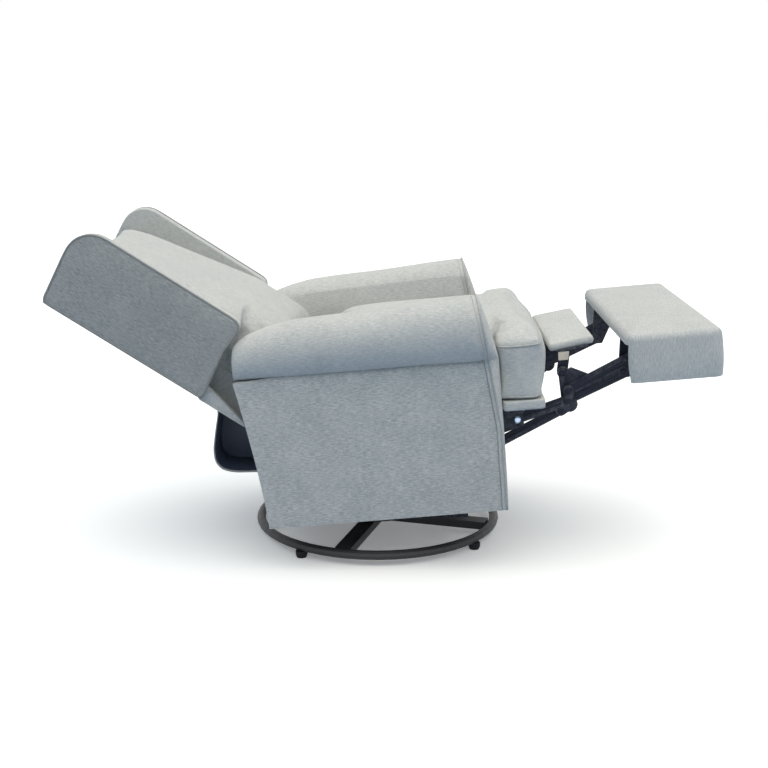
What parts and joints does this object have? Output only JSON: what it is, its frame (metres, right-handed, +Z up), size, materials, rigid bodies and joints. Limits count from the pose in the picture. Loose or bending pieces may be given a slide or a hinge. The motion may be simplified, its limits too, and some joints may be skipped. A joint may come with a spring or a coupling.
{
  "type": "swivel glider recliner",
  "caption": "Upholstered wing-back recliner on a swivel ring base, with gliding links, a reclining back and a link-driven ottoman with a flipper pad.",
  "frame": {"origin": "middle of the whole piece's footprint, on the floor, with the back down and the footrest out", "axes": "+X towards the sitter's feet, +Y to the sitter's left, +Z up"},
  "size_m": [1.5728, 0.776, 0.8006],
  "materials": {
    "fabric": "heathered woven linen-like weave, matte",
    "lining": "plain dark non-woven, matte",
    "wood": "bare plywood and hardwood",
    "mechanism_steel": "dark blue-black, satin",
    "base_paint": "black, semi-gloss",
    "zinc": "zinc plated",
    "spring_steel": "oiled wire",
    "plastic": "moulded, matte"
  },
  "bodies": {
    "base": {"base_ring": "base_paint", "base_cross": "base_paint", "base_foot_1": "plastic", "base_foot_2": "plastic", "base_foot_3": "plastic", "base_foot_4": "plastic", "swivel_lower_plate": "base_paint", "bearing_lower_race": "zinc", "bearing_cage": "zinc"},
    "turntable": {"bearing_upper_race": "zinc", "swivel_upper_plate": "base_paint", "carrier_spacer": "base_paint", "glide_carrier_left": "base_paint", "glide_carrier_right": "base_paint"},
    "glide_link_front_left": {"glide_link_front_left": "mechanism_steel"},
    "glide_link_rear_left": {"glide_link_rear_left": "mechanism_steel"},
    "glide_link_front_right": {"glide_link_front_right": "mechanism_steel"},
    "glide_link_rear_right": {"glide_link_rear_right": "mechanism_steel"},
    "platform": {"platform_frame": "mechanism_steel"},
    "chair_body": {"mechanism_plate_left": "mechanism_steel", "mechanism_plate_right": "mechanism_steel", "arm_frame_left": "wood", "arm_frame_right": "wood", "arm_side_left": "fabric", "arm_side_right": "fabric", "arm_roll_left": "fabric", "arm_roll_right": "fabric", "arm_front_left": "fabric", "arm_front_right": "fabric", "seat_front_rail": "wood", "seat_rear_rail": "wood", "rear_cross_rail": "wood", "front_cross_rail": "wood", "seat_springs": "spring_steel", "deck_pad": "lining", "seat_front_band": "fabric", "seat_cushion": "fabric", "dust_flap": "fabric"},
    "back": {"back_frame": "wood", "back_outer_panel": "fabric", "back_cushion": "fabric", "wing_left": "fabric", "wing_right": "fabric", "back_bracket_left": "mechanism_steel", "back_bracket_right": "mechanism_steel"},
    "cranks": {"footrest_crank_left": "mechanism_steel", "footrest_crank_right": "mechanism_steel"},
    "front_links": {"front_link_left": "mechanism_steel", "front_link_right": "mechanism_steel"},
    "control_links": {"control_link_left": "mechanism_steel", "control_link_right": "mechanism_steel"},
    "drive_links": {"drive_link_left": "mechanism_steel", "drive_link_right": "mechanism_steel"},
    "torque_tube": {"torque_tube": "mechanism_steel"},
    "ottoman": {"ottoman_bracket_left": "mechanism_steel", "ottoman_bracket_right": "mechanism_steel", "ottoman_board": "wood", "ottoman_cover": "fabric"},
    "flipper": {"flipper_bracket": "mechanism_steel", "flipper_pad": "fabric"}
  },
  "joints": [
    {"name": "swivel", "type": "hinge", "parent": "base", "child": "turntable", "pos_m": [-0.0163, 0, 0.05], "axis": [0, 0, 1], "continuous": true},
    {"name": "glide", "type": "hinge", "parent": "turntable", "child": "glide_link_front_left", "pos_m": [0.0787, 0.1358, 0.1888], "axis": [0, 1, 0], "range_deg": [-35, 35]},
    {"name": "glide_rear_left", "type": "hinge", "parent": "turntable", "child": "glide_link_rear_left", "pos_m": [-0.1113, 0.1358, 0.1888], "axis": [0, 1, 0], "range_deg": [-35, 35]},
    {"name": "glide_front_right", "type": "hinge", "parent": "turntable", "child": "glide_link_front_right", "pos_m": [0.0787, -0.1358, 0.1888], "axis": [0, 1, 0], "range_deg": [-35, 35]},
    {"name": "glide_rear_right", "type": "hinge", "parent": "turntable", "child": "glide_link_rear_right", "pos_m": [-0.1113, -0.1358, 0.1888], "axis": [0, 1, 0], "range_deg": [-35, 35]},
    {"name": "glide_platform", "type": "hinge", "parent": "glide_link_front_left", "child": "platform", "pos_m": [0.0787, 0.1417, 0.0888], "axis": [0, 1, 0], "range_deg": [-35, 35]},
    {"name": "body_tilt", "type": "hinge", "parent": "platform", "child": "chair_body", "pos_m": [-0.0163, 0, 0.135], "axis": [0, 1, 0], "range_deg": [0, 5]},
    {"name": "recline", "type": "hinge", "parent": "chair_body", "child": "back", "pos_m": [-0.20253, 0, 0.42788], "axis": [0, 1, 0], "range_deg": [0, 37]},
    {"name": "footrest", "type": "hinge", "parent": "chair_body", "child": "cranks", "pos_m": [0.32157, 0, 0.34625], "axis": [0, 1, 0], "range_deg": [0, 126.29]},
    {"name": "footrest_knee", "type": "hinge", "parent": "cranks", "child": "front_links", "pos_m": [0.44015, 0, 0.39076], "axis": [0, 1, 0], "range_deg": [-191.3, 0]},
    {"name": "ottoman_pivot", "type": "hinge", "parent": "front_links", "child": "ottoman", "pos_m": [0.57573, 0, 0.45883], "axis": [0, 1, 0], "range_deg": [0, 155.01]},
    {"name": "control_pivot", "type": "hinge", "parent": "cranks", "child": "control_links", "pos_m": [0.44394, 0, 0.41618], "axis": [0, 1, 0], "range_deg": [-183.09, 0]},
    {"name": "torque_pivot", "type": "hinge", "parent": "chair_body", "child": "torque_tube", "pos_m": [0.16993, 0, 0.26673], "axis": [0, 1, 0], "range_deg": [0, 140.2]},
    {"name": "drive_pivot", "type": "hinge", "parent": "cranks", "child": "drive_links", "pos_m": [0.42721, 0, 0.36653], "axis": [0, 1, 0], "range_deg": [-113.39, 0]},
    {"name": "flipper_pivot", "type": "hinge", "parent": "front_links", "child": "flipper", "pos_m": [0.43023, 0, 0.45815], "axis": [0, 1, 0], "range_deg": [0, 140]}
  ],
  "couplings": [
    {"joint": "glide_rear_left", "follows": "glide", "ratio": 1},
    {"joint": "glide_front_right", "follows": "glide", "ratio": 1},
    {"joint": "glide_rear_right", "follows": "glide", "ratio": 1},
    {"joint": "glide_platform", "follows": "glide", "ratio": -1},
    {"joint": "body_tilt", "follows": "recline", "ratio": 0.13514},
    {"joint": "footrest_knee", "follows": "footrest", "ratio": -1.5148},
    {"joint": "ottoman_pivot", "follows": "footrest", "ratio": 1.2274},
    {"joint": "control_pivot", "follows": "footrest", "ratio": -1.4498},
    {"joint": "torque_pivot", "follows": "footrest", "ratio": 1.1101},
    {"joint": "drive_pivot", "follows": "footrest", "ratio": -0.89785},
    {"joint": "flipper_pivot", "follows": "footrest", "ratio": 1.1085}
  ]
}
